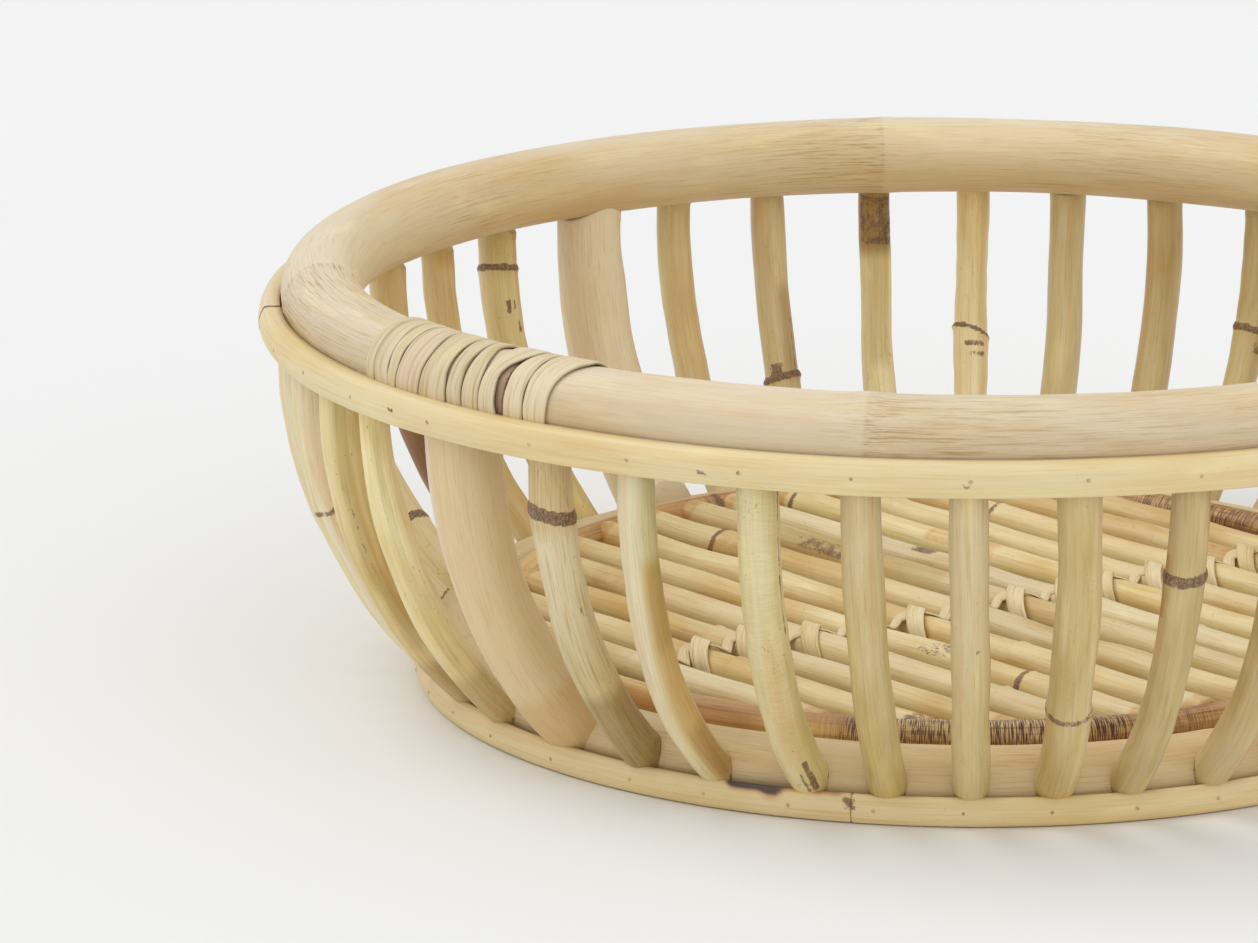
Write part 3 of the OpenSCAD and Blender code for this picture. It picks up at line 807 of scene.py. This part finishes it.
# For each rod, from the nearest to the farthest: tint, its patches along X, and how speckled it is
ROD_LOOKS = [
    ((236, 220, 180), [], 0.2),
    ((234, 216, 168), [(DARK, 92, 96, 90, 120, 0.5)], 0.3),
    ((230, 210, 162), [(ASH, -30, 60, 110, 160, 0.5)], 0.2),
    ((226, 206, 162), [(GOLD, -96, -70, 90, 200, 0.4)], 0.2),
    ((232, 214, 168), [(DARK, 38, 48, 60, 40, 0.5), (DARK, 81, 83.4, 90, 360, 0.9)], 0.5),
    ((230, 212, 164), [(GOLD, -60, -20, 90, 120, 0.3)], 0.2),
    ((226, 206, 158), [(DARK, -106, -104.4, 90, 360, 0.9), (GOLD, -104, -78, 90, 200, 0.5),
                       (ASH, 20, 70, 60, 90, 0.6)], 0.6),
    ((222, 202, 156), [(OLIVE, -100, -20, 120, 120, 0.5), (DARK, -84, -62, 50, 40, 0.5)], 0.9),
    ((230, 214, 172), [(ASH, -70, 10, 90, 200, 0.7), (DARK, -47, -41, 90, 40, 0.75)], 0.3),
    ((234, 218, 166), [(GOLD, -60, -30, 70, 60, 0.5), (DARK, -127, -125.6, 90, 360, 0.8)], 0.4),
    ((230, 210, 162), [], 0.3),
    ((232, 212, 162), [(DARK, -70, -68.6, 90, 360, 0.75)], 0.3),
    ((226, 204, 156), [(GOLD, 0, 40, 90, 100, 0.5)], 0.4),
    ((228, 206, 158), [], 0.3)]
# Painted shade: how much darker the underside and the flanks of a rod are
UNDER_PAINTED_SHADE = (0.28, 0.35, 0.455)
FLANK_PAINTED_SHADE = (0.08, 0.12, 0.24)

# Where the crossbar crosses the middle of the floor, how far it is out of square, and its nodes
BAR_X = 13.0
BAR_SKEW = math.radians(7.5)
BAR_NODES = (-66, 41)


def rod_places():
    """Distance across the floor, cane radius, node and name of each rod, from the nearest to the farthest."""
    rods = []
    for k in range(1, 8):
        node = f"floor_rod_pair_{k}"
        centre, half = extent(node)
        for sign, side in ((-1, "near"), (1, "far")):
            rods.append((centre[1] + sign * (half[1] - half[2]), half[2], node, f"floor_rod_{k}_{side}"))
    return sorted(rods)


def floor_rod(name, node, y, z, cane_r, half, tint, marks, speck, rng):
    """One loose rod along X, slightly bent, with its nodes."""
    along = with_end_rings(np.linspace(-half, half, max(60, int(half * 1.7))), 1.2)
    theta = angles(32)
    thin = rng.uniform(-0.35, 0.05)
    radius = cane_r + thin + waver(rng, 0.16, 90)(along)[:, None]
    radius = radius + 0.14 * np.cos(2 * theta + rng.random() * 6)
    knots = [(start + end) / 2 for kind, start, end, _, spread, _ in marks if spread > ALL_ROUND]
    for at in knots or [rng.uniform(-half, half)]:
        radius = radius + cane_ring_shape(along - at, 0.45, 1.2)[:, None]
    radius = np.minimum(round_ends(radius, along, 1.2), cane_r + 0.6)
    bow = rng.uniform(-0.7, 0.7) * np.cos(math.pi * along / half / 2) + waver(rng, 0.25, 110)(along)
    rise = waver(rng, 0.15, 140)(along) - 0.5 * (cane_r - radius.mean(1))
    centre = np.stack([along, y + bow, z + rise], -1)
    rings = tube_rings(centre, (0, -1, 0), UP, radius, theta)
    look = paint(radius.shape, linear(*tint), speck=speck, streak=0.5)
    add_marks(look, along, theta, marks, 5.0, 1.0)
    for tip in (-half, half):
        add_patch(look, along, theta, GOLD, tip - 5, tip + 5, strength=0.6, soft=4)
    # Painted shade on the rod's underside and flanks
    under = smooth((-np.sin(theta) - 0.1) / 0.7)[:, None]
    flank = smooth((0.85 - np.sin(theta)) / 0.8)[:, None]
    look["tint"] *= (1 - under * UNDER_PAINTED_SHADE) * (1 - flank * FLANK_PAINTED_SHADE)
    look["cane"] = straight_coordinates(radius, theta, along, rng)
    skin(name, [rings], [look], FLOOR, "floor_cane", node)


def cross_bar(rng):
    middle, half = extent("cross_bar")
    cane_r = half[2]
    reach = half[1] / math.cos(BAR_SKEW) - 0.8
    along = with_end_rings(np.linspace(-reach, reach, 240), 0.8)
    theta = angles(32)
    radius = cane_r - 0.15 + waver(rng, 0.1, 80)(along)[:, None] + 0 * theta
    look = paint(radius.shape, linear(150, 104, 72), streak=1.0, speck=0.5)
    for at in BAR_NODES:
        radius = radius + cane_ring_shape(along - at, 0.3, 1.2)[:, None]
        add_patch(look, along, theta, DARK, at - 1, at + 1, strength=0.8, soft=0.7)
    radius = round_ends(np.minimum(radius, cane_r), along, 0.8)
    centre = (BAR_X, 0, middle[2]) + along[:, None] * (math.sin(BAR_SKEW), math.cos(BAR_SKEW), 0)
    rings = tube_rings(centre, (math.cos(BAR_SKEW), -math.sin(BAR_SKEW), 0), UP, radius, theta)
    look["cane"] = straight_coordinates(radius, theta, along, rng)
    skin("cross_bar", [rings], [look], BROWN, "brown_cane", "cross_bar")


# ---- Peel strips ----

# How far each rod's loop has slipped along the rod, in millimetres, from the nearest rod
LOOP_SHIFTS = (-4.0, -9.0, -11.5, -4.5, -3.5, -1.5, -4.0, -3.0, 0.0, -3.0, -2.0, 1.0, -2.0, 0.0)
# Where a loop starts and ends along its rod, from its middle
LOOP_NEAR_X = 13.5
LOOP_FAR_X = -6.0
# How far the strip's middle is outside a rod and outside the crossbar
LOOP_OVER = 1.3
LOOP_BESIDE = 1.45
# Half the way between two rods, for the outermost loops
LOOP_OUTSIDE = 9.5
# The strip between two loops lies close on the rods and sags a little across the gap
LINK_LIFT = 0.55
LINK_THICK = 0.6
LINK_SAG = 1.8
# Where it lies on each rod: angles round the rod, with 90 on top, and distances along it from the loop
LINK_ON_NEAR_ROD = ((84, 50), (2.5, 10.5))
LINK_ON_FAR_ROD = ((135, 106), (0.5, 5.0))


def strip_outline(width, thick, ribs):
    """Section of a peel strip: flat below, with fine lengthwise ribs and rounded edges above."""
    across = np.linspace(-1, 1, 6 * ribs + 1)
    crown = thick * (1 - 0.45 * np.abs(across) ** 8)
    groove = 0.10 * (np.cos(math.pi * ribs * (across + 1)) > 0.86)
    top = np.stack([across * width / 2, crown - groove - thick / 2], -1)
    below = np.stack([np.linspace(1, -1, 7) * width / 2 * 0.98, np.full(7, -thick / 2)], -1)
    return np.concatenate([top, below])


def strip_rings(path, facing, section):
    """A flat strip swept along a path, with its top turned to face a given way at each point."""
    step = np.gradient(path, axis=0)
    step /= np.linalg.norm(step, axis=1)[:, None]
    across = np.cross(step, facing)
    across /= np.linalg.norm(across, axis=1)[:, None]
    out = np.cross(across, step)
    return path[:, None] + section[..., :1] * across[:, None] + section[..., 1:] * out[:, None]


def bar_x(y):
    return BAR_X + y * math.tan(BAR_SKEW)


def loop_path(rod_ys, rod_r, rod_z, bar_z, bar_r):
    """Centre line of the strip that goes over each rod, down beside the crossbar, under it and up to the next
    rod, and the way that its top faces."""
    over_r, beside = rod_r + LOOP_OVER, bar_r + LOOP_BESIDE
    path, facing = [], []

    def go(point, way):
        path.append(point)
        facing.append(way / np.linalg.norm(way))

    def cross(begin, end):
        for t in np.linspace(0, 1, 9)[1:-1]:
            go(begin[0] * (1 - t) + end[0] * t, begin[1] * (1 - smooth(t)) + end[1] * smooth(t))

    for k, y in enumerate(rod_ys):
        before = (rod_ys[k - 1] + y) / 2 if k else y - LOOP_OUTSIDE
        after = (rod_ys[k + 1] + y) / 2 if k + 1 < len(rod_ys) else y + LOOP_OUTSIDE
        x = bar_x(y) + LOOP_SHIFTS[k]
        near_x, far_x = x + LOOP_NEAR_X, x + LOOP_FAR_X
        cross(np.array([(bar_x(before) + beside, before, bar_z), (1.0, 0, 0)]),
              np.array([(near_x, y - over_r, rod_z), (0.0, -1, 0)]))
        for a in np.radians(np.linspace(180, 0, 25)):
            way = np.array([0, math.cos(a), math.sin(a)])
            go((far_x + (near_x - far_x) * a / math.pi, y, rod_z) + over_r * way, way)
        cross(np.array([(far_x, y + over_r, rod_z), (0.0, 1, 0)]),
              np.array([(bar_x(after) - beside, after, bar_z), (-1.0, 0, 0)]))
        for a in np.radians(np.linspace(0, -180, 19)):
            way = np.array([-math.cos(a), 0, math.sin(a)])
            go((bar_x(after), after, bar_z) + beside * way, way)
    return np.array(path), np.array(facing)


def soften(points, span=5):
    """The points with their corners rounded off."""
    padded = np.pad(points, ((span // 2, span // 2), (0, 0)), "edge")
    return np.stack([padded[k:k + len(points)] for k in range(span)]).mean(0)


def link_path(near, far, radius, z):
    """The strip from the top of one loop, across the gap, to under the next: its centre line and facing."""
    lies = []
    for (x, y), (turns, places) in ((near, LINK_ON_NEAR_ROD), (far, LINK_ON_FAR_ROD)):
        a = np.radians(np.linspace(*turns, 10))
        way = np.stack([0 * a, np.cos(a), np.sin(a)], -1)
        spot = np.stack([x + np.linspace(*places, 10), y + 0 * a, z + 0 * a], -1)
        lies.append((spot + radius * way, way))
    (first, way), (last, turned) = lies
    t = np.linspace(0, 1, 14)[1:-1, None]
    across = first[-1] * (1 - t) + last[0] * t - LINK_SAG * np.sin(math.pi * t) * UP
    path = soften(np.concatenate([first, across, last]))
    facing = soften(np.concatenate([way, way[-1] * (1 - t) + turned[0] * t, turned]))
    return path, facing / np.linalg.norm(facing, axis=1)[:, None]


def lashing_shell(path, facing, outline, widths, start):
    """A strip's rings and paint, with its width multiplied along its path."""
    section = outline[None] * np.stack([widths, np.ones_like(widths)], -1)[:, None]
    rings = strip_rings(path, facing, section)
    look = paint(rings.shape[:2], linear(234, 216, 176), streak=0.9, speck=0.1)
    look["cane"] = strip_coordinates(section, path_length(path) + start)
    return rings, look


def bar_lashing(rng, rods, rod_z):
    """One strip that ties each rod to the crossbar, and its lengths from loop to loop."""
    rod_ys, rod_r = [rod[0] for rod in rods], rods[-1][1]
    bar, half = extent("cross_bar")
    path, facing = loop_path(rod_ys, rod_r, rod_z, bar[2], half[2])
    widths = 1 + waver(rng, 0.05, 50)(path_length(path))
    parts = [lashing_shell(path, facing, strip_outline(6.2, STRIP_THICK, 5), widths, 0)]
    loops = [(bar_x(y) + shift, y) for y, shift in zip(rod_ys, LOOP_SHIFTS)]
    for near, far in zip(loops[:-1], loops[1:]):
        path, facing = link_path(near, far, rod_r + LINK_LIFT, rod_z)
        along = path_length(path)
        widths = 1 - rng.uniform(0.15, 0.35) * np.sin(math.pi * along / along[-1]) ** 2
        outline = strip_outline(rng.uniform(4.4, 5.2), LINK_THICK, 4)
        parts.append(lashing_shell(path, facing, outline, widths, 300))
    shells, looks = map(list, zip(*parts))
    skin("bar_lashing", shells, looks, PEEL, "peel_strip", "bar_lashing")


# The binding's turns: where the left and right edges lie, in degrees of azimuth, at places round the pole
AROUND = (-24, 20, 47, 70, 90, 262)
TURNS = [
    ((-99.1,) * 6, (-97.93,) * 6),
    ((-97.91,) * 6, (-95.83,) * 6),
    ((-95.81,) * 6, (-95.0, -94.55, -94.45, -94.4, -94.4, -94.4)),
    ((-94.97, -94.5, -94.4, -94.36, -94.36, -94.36), (-91.95, -91.5, -91.2, -91.3, -91.6, -91.6)),
    ((-91.9, -91.44, -91.0, -91.1, -91.55, -91.55), (-88.4, -88.42, -88.5, -88.45, -88.4, -88.3)),
    ((-88.3, -88.25, -88.15, -88.25, -88.3, -88.25), (-86.55, -86.6, -86.62, -86.6, -86.55, -86.5)),
    ((-86.5, -86.42, -86.38, -86.45, -86.5, -86.45), (-84.6, -84.6, -84.7, -85.0, -85.3, -84.6)),
    ((-84.55, -84.52, -84.4, -84.2, -84.1, -84.5), (-82.65, -82.85, -82.95, -81.6, -81.0, -81.6)),
    ((-82.0, -81.95, -81.9, -81.45, -80.9, -81.5), (-80.0, -79.98, -79.9, -79.7, -79.5, -79.6)),
    ((-79.9, -79.9, -79.82, -79.62, -79.42, -79.5), (-77.8, -77.6, -77.3, -76.6, -75.6, -76.4))]
# How much each turn stands proud, and its shade
TURN_LIFTS = (0.0, 0.05, 0.1, 0.0, 0.12, 0.02, 0.08, 0.3, 0.05, 0.12)
TURN_TONES = (1.0, 0.98, 1.0, (0.97, 0.92, 0.95), 0.97, 0.95, 1.0, 0.97, 1.02, 1.03)
# Slits between one turn and the next: where round the pole, how far they spread and how wide they open, in
# degrees. The first and last turns have no slit outside them.
SLITS = [(0, 1, 0.0), (-8, 14, 0.10), (17, 14, 0.13), (28, 10, 0.05), (10, 60, 0.03), (37, 24, 0.10),
         (55, 25, 0.10), (82, 12, 0.3), (20, 30, 0.1), (30, 60, 0.02), (0, 1, 0.0)]


def rim_binding(rng):
    """Peel strip wound over the rim pole's joint. Each turn ends behind the rim band and under the pole."""
    rim_r, cane_r, z = ring_size("rim_pole")
    turn = np.radians(np.linspace(AROUND[0], AROUND[-1], 150))
    degrees = np.degrees(turn)
    shells, looks = [], []
    across, up = strip_outline(2, STRIP_THICK, 5).T
    slits = [wide / 2 * np.exp(-((degrees - at) / spread) ** 2) for at, spread, wide in SLITS]
    for k, (edges, lift, tone) in enumerate(zip(TURNS, TURN_LIFTS, TURN_TONES)):
        low, high = (np.pad(np.interp(degrees, AROUND, edge), 6, "edge") for edge in edges)
        low, high = (np.convolve(edge, np.ones(13) / 13, "valid") for edge in (low, high))
        low += slits[k]
        high -= slits[k + 1]
        low, high = ((edge + waver(rng, 0.02, 60)(degrees))[:, None] for edge in (low, high))
        azimuth = np.radians((low + high) / 2 + across * (high - low) / 2)
        height = cane_r + 0.02 + STRIP_THICK / 2 + up + lift + waver(rng, 0.05, 80)(degrees)[:, None]
        height = np.minimum(height, cane_r + 1.25)
        r = rim_r + height * np.cos(turn)[:, None]
        rings = np.stack([r * np.cos(azimuth), r * np.sin(azimuth), z + height * np.sin(turn)[:, None]], -1)
        tint = linear(225, 209, 176) * np.array(tone)
        look = paint(rings.shape[:2], tint, streak=0.9, speck=0.08, mottle=0.7)
        # Painted shade along the edges of each turn, where it meets the next
        look["tint"] *= 1 - 0.35 * smooth((np.abs(across) - 0.9) / 0.1)[:, None]
        width = (high - low) / 2 * across * math.radians(1) * rim_r
        look["cane"] = strip_coordinates(np.stack([width + 40 * k, up + 0 * width], -1), cane_r * turn)
        shells.append(rings)
        looks.append(look)
    skin("rim_binding", shells, looks, PEEL, "peel_strip", "rim_binding")


# ---- Brads ----

# Outline of a small domed head, almost flush with its band: distance past the surface, and radius
BRAD_DEPTH = np.array([-1.2, -0.02, 0.04, 0.09, 0.12, 0.13])
BRAD_REACH = np.array([0.40, 0.62, 0.60, 0.46, 0.26, 0.06])


def brads(name, band, rng, azimuths):
    """A row of nail heads in a band, one for each upright."""
    middle, half = extent(band)
    theta = angles(20)
    shells, looks = [], []
    for azimuth in azimuths:
        a = azimuth + rng.uniform(-0.004, 0.004)
        centre = (half[0] - 0.1 + BRAD_DEPTH)[:, None] * (math.cos(a), math.sin(a), 0)
        centre = centre + (0, 0, middle[2] + rng.uniform(-0.5, 0.5))
        side = (-math.sin(a), math.cos(a), 0)
        shells.append(tube_rings(centre, side, UP, BRAD_REACH[:, None] + 0 * theta, theta))
        look = paint(shells[-1].shape[:2], linear(150, 130, 104))
        look["cane"] = shells[-1] * MM
        looks.append(look)
    skin(name, shells, looks, STEEL, "steel_brad", name)


# ---- Studio ----

FLOOR_SIZE = 12.0
# The camera: focal length in millimetres, azimuth of its place, distance from the axis and height, and its
# turn as pitch, heading and roll
LENS = 182.93
CAMERA_AZIMUTH = -43.9
CAMERA_AWAY = 2.00255
CAMERA_HEIGHT = 0.58174
CAMERA_TURN = (75.52, 49.14, -0.066)


def studio():
    """A plain pale floor, soft light and the camera."""
    g = Graph("studio_floor")
    g.shader.inputs["Base Color"].default_value = (0.85, 0.853, 0.85, 1)
    g.shader.inputs["Roughness"].default_value = 0.85
    g.shader.inputs["Specular IOR Level"].default_value = 0.2
    mesh = bpy.data.meshes.new("studio_floor")
    corners = [(-1, -1), (1, -1), (1, 1), (-1, 1)]
    mesh.from_pydata([(FLOOR_SIZE * x, FLOOR_SIZE * y, 0) for x, y in corners], [], [(0, 1, 2, 3)])
    mesh.materials.append(g.material)
    floor = place("studio_floor", mesh)

    world = bpy.data.worlds.new("studio")
    bpy.context.scene.world = world
    world.use_nodes = True
    back = world.node_tree.nodes["Background"]
    back.inputs["Color"].default_value = (0.985, 0.992, 1.0, 1)
    back.inputs["Strength"].default_value = 0.77
    sun("key", azimuth=-138, elevation=58, spread=40, power=0.85, colour=(1.0, 0.992, 0.97))
    sun("fill", azimuth=-12, elevation=32, spread=60, power=0.42, colour=(1.0, 0.99, 0.965))
    bpy.context.scene.view_settings.view_transform = "Standard"

    lens = bpy.data.cameras.new("camera")
    camera = place("camera", lens)
    bpy.context.scene.camera = camera
    lens.sensor_width = 36.0
    lens.lens = LENS
    lens.clip_start, lens.clip_end = 0.1, 40.0
    a = math.radians(CAMERA_AZIMUTH)
    pitch, heading, roll = (math.radians(angle) for angle in CAMERA_TURN)
    turn = Euler((pitch, 0, heading)).to_matrix() @ Matrix.Rotation(roll, 3, "Z")
    spot = (CAMERA_AWAY * math.cos(a), CAMERA_AWAY * math.sin(a), CAMERA_HEIGHT)
    camera.matrix_world = Matrix.Translation(spot) @ turn.to_4x4()


def sun(name, azimuth, elevation, spread, power, colour):
    """A distant soft lamp."""
    light = bpy.data.lights.new(name, "SUN")
    light.energy, light.color, light.angle = power, colour, math.radians(spread)
    a, e = math.radians(azimuth), math.radians(elevation)
    place(name, light).matrix_world = Euler((math.pi / 2 - e, 0, a + math.pi / 2)).to_matrix().to_4x4()


def build():
    for number, piece in enumerate((rim_pole, base_pole, floor_ring, rim_band, base_band, rim_binding), 1):
        piece(np.random.default_rng(SEED + number))
    rim, base = ring_size("rim_pole"), ring_size("base_pole")
    azimuths = []
    for k, node in enumerate(sorted(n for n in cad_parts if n.startswith(("stave_", "post_")))):
        rng = np.random.default_rng(SEED * 100 + k)
        look = LOOKS.get(node) or plain_upright(rng, node.startswith("post"))
        upright(node, look, rng, rim, base)
        azimuths.append(upright_place(node)[0])
    ring_r, _, z = ring_size("floor_ring")
    rods = rod_places()
    rng = np.random.default_rng(SEED + 7)
    for (y, cane_r, node, name), (tint, marks, speck) in zip(rods, ROD_LOOKS):
        half = math.sqrt((ring_r - ROD_END_INSET) ** 2 - y ** 2) + 1.5
        floor_rod(name, node, y, z, cane_r - 0.1, half, tint, marks, speck, rng)
    cross_bar(np.random.default_rng(SEED + 8))
    bar_lashing(np.random.default_rng(SEED + 9), rods, z)
    for row in ("rim", "base"):
        brads(row + "_nails", row + "_band", np.random.default_rng(SEED + 10), azimuths)


build()
studio()
